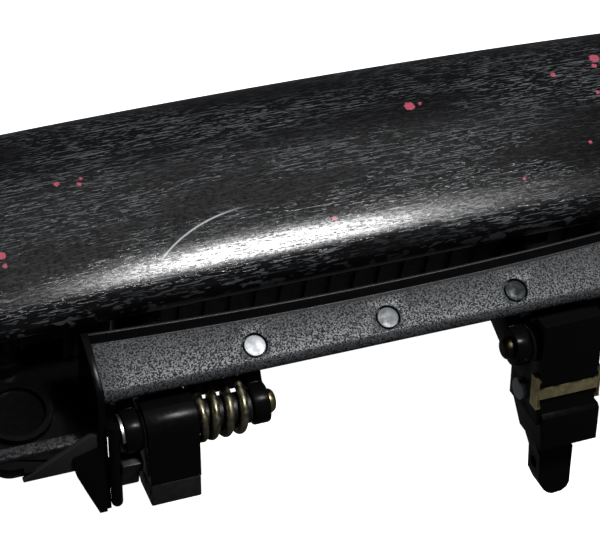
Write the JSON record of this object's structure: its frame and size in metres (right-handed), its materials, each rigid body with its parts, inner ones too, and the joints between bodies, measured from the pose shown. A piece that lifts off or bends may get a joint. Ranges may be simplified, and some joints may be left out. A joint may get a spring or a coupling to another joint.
{
  "type": "lift paddle handle",
  "caption": "Lift-paddle outside handle on two hinge pins, with a bezel housing, counterweight lever, return spring and a sprung release finger.",
  "frame": {"origin": "middle of the two mounting studs, on the door's outer skin", "axes": "+Z out of the door, +X along the hinge pins, -Y towards the hinge side; the paddle's free edge is at +Y"},
  "size_m": [0.22, 0.0985, 0.0711],
  "materials": {
    "housing": "fine grained on the strip, glossy elsewhere",
    "shell": "scratched gloss",
    "carrier": "moulded",
    "lever": "moulded gloss",
    "plug": "smooth",
    "pin": "yellow passivated",
    "spring": "drawn wire, yellow passivated",
    "steel": "plain zinc plated",
    "slug": "as cast",
    "clip": "sheet",
    "bush": "bearing plastic",
    "rubber": "soft"
  },
  "bodies": {
    "base": {"base_housing": "housing", "reinforcement_bar": "steel", "strip_plugs": "plug", "left_hinge_pin": "pin", "right_hinge_pin": "pin", "pin_clips": "steel", "pin_spacer": "bush", "spring_sleeve": "housing", "base_gaskets": "rubber", "mounting_studs": "steel", "bump_stops": "rubber", "return_spring": "spring"},
    "paddle": {"paddle_shell": "shell", "paddle_carrier": "carrier", "carrier_screws": "steel", "grip_pad": "rubber", "counterweight_arm": "lever", "counterweight_slug": "slug", "release_arm": "lever", "arm_screws": "steel", "left_bush": "bush", "right_bush": "bush", "cross_pin": "steel", "strap_clip": "clip"},
    "finger": {"release_finger": "lever", "finger_bush": "bush", "finger_spring": "steel"}
  },
  "joints": [
    {"name": "paddle_hinge", "type": "hinge", "parent": "base", "child": "paddle", "pos_m": [0, -0.014, 0.009], "axis": [1, 0, 0], "range_deg": [0, 35], "stiffness_Nm_per_rad": 0.4, "springref_deg": -20.05, "deforming": ["return_spring"]},
    {"name": "finger_hinge", "type": "hinge", "parent": "paddle", "child": "finger", "pos_m": [0, -0.01693, -0.00564], "axis": [1, 0, 0], "range_deg": [0, 18], "stiffness_Nm_per_rad": 0.02, "springref_deg": -17.19, "deforming": ["finger_spring"]}
  ]
}
